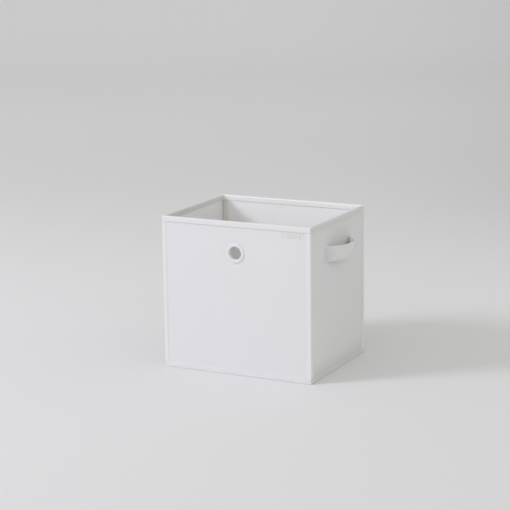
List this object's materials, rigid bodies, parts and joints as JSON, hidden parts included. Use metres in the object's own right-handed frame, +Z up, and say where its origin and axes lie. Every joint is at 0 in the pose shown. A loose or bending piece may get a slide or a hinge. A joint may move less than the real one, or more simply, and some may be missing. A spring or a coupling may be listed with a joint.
{
  "type": "fabric storage box",
  "caption": "Open-top fabric storage box with board-stiffened walls, a finger eyelet in the front, strap handles on the sides and a loose base; folds flat.",
  "frame": {"origin": "on the floor under the middle of the box", "axes": "-Y out of the front wall that carries the eyelet, +X to the side of the right handle, +Z up"},
  "size_m": [0.3438, 0.2362, 0.28],
  "materials": {
    "outer_cloth": "fine plain-weave polyester, matt",
    "lining": "fine plain-weave polyester, matt",
    "binding": "folded woven tape, matt",
    "strap": "folded cloth strap, topstitched",
    "board": "raw grey-brown chipboard",
    "eyelet": "smooth white",
    "label": "blank woven satin"
  },
  "bodies": {
    "front_wall": {"front_outer_panel": "outer_cloth", "front_board": "board", "front_lining": "lining", "front_rim_binding": "binding", "corner_binding_front_right": "binding", "corner_binding_front_left": "binding", "bottom_binding": "binding", "floor_cloth": "lining", "eyelet_ring": "eyelet", "eyelet_washer": "eyelet", "label_tag": "label"},
    "right_front_leaf": {"right_front_outer_panel": "outer_cloth", "right_front_board": "board", "right_front_lining": "lining", "right_front_rim_binding": "binding", "handle_strap_right": "strap"},
    "right_rear_leaf": {"right_rear_outer_panel": "outer_cloth", "right_rear_board": "board", "right_rear_lining": "lining", "right_rear_rim_binding": "binding"},
    "left_front_leaf": {"left_front_outer_panel": "outer_cloth", "left_front_board": "board", "left_front_lining": "lining", "left_front_rim_binding": "binding", "handle_strap_left": "strap"},
    "left_rear_leaf": {"left_rear_outer_panel": "outer_cloth", "left_rear_board": "board", "left_rear_lining": "lining", "left_rear_rim_binding": "binding"},
    "back_wall": {"back_outer_panel": "outer_cloth", "back_board": "board", "back_lining": "lining", "back_rim_binding": "binding", "corner_binding_back_right": "binding", "corner_binding_back_left": "binding"},
    "base_insert": {"base_board": "board", "base_cover_top": "lining", "base_cover_bottom": "lining"}
  },
  "joints": [
    {"name": "right_fold", "type": "hinge", "parent": "front_wall", "child": "right_front_leaf", "pos_m": [0.14255, -0.11295, 0], "axis": [0, 0, 1], "range_deg": [0, 88], "deforming": ["handle_strap_right"]},
    {"name": "right_crease", "type": "hinge", "parent": "right_front_leaf", "child": "right_rear_leaf", "pos_m": [0.14725, -0.0002, 0], "axis": [0, 0, 1], "range_deg": [-176, 0]},
    {"name": "back_fold", "type": "hinge", "parent": "right_rear_leaf", "child": "back_wall", "pos_m": [0.14255, 0.11255, 0], "axis": [0, 0, 1], "range_deg": [0, 88]},
    {"name": "left_fold", "type": "hinge", "parent": "front_wall", "child": "left_front_leaf", "pos_m": [-0.14255, -0.11295, 0], "axis": [0, 0, 1], "range_deg": [-88, 0], "deforming": ["handle_strap_left"]},
    {"name": "left_crease", "type": "hinge", "parent": "left_front_leaf", "child": "left_rear_leaf", "pos_m": [-0.14725, -0.0002, 0], "axis": [0, 0, 1], "range_deg": [0, 176]},
    {"name": "base_lift", "type": "slide", "parent": "front_wall", "child": "base_insert", "axis": [0, 0, 1], "range_m": [0, 0.3]}
  ],
  "couplings": [
    {"joint": "right_crease", "follows": "right_fold", "ratio": -2},
    {"joint": "back_fold", "follows": "right_fold", "ratio": 1},
    {"joint": "left_fold", "follows": "right_fold", "ratio": -1},
    {"joint": "left_crease", "follows": "right_fold", "ratio": 2}
  ]
}
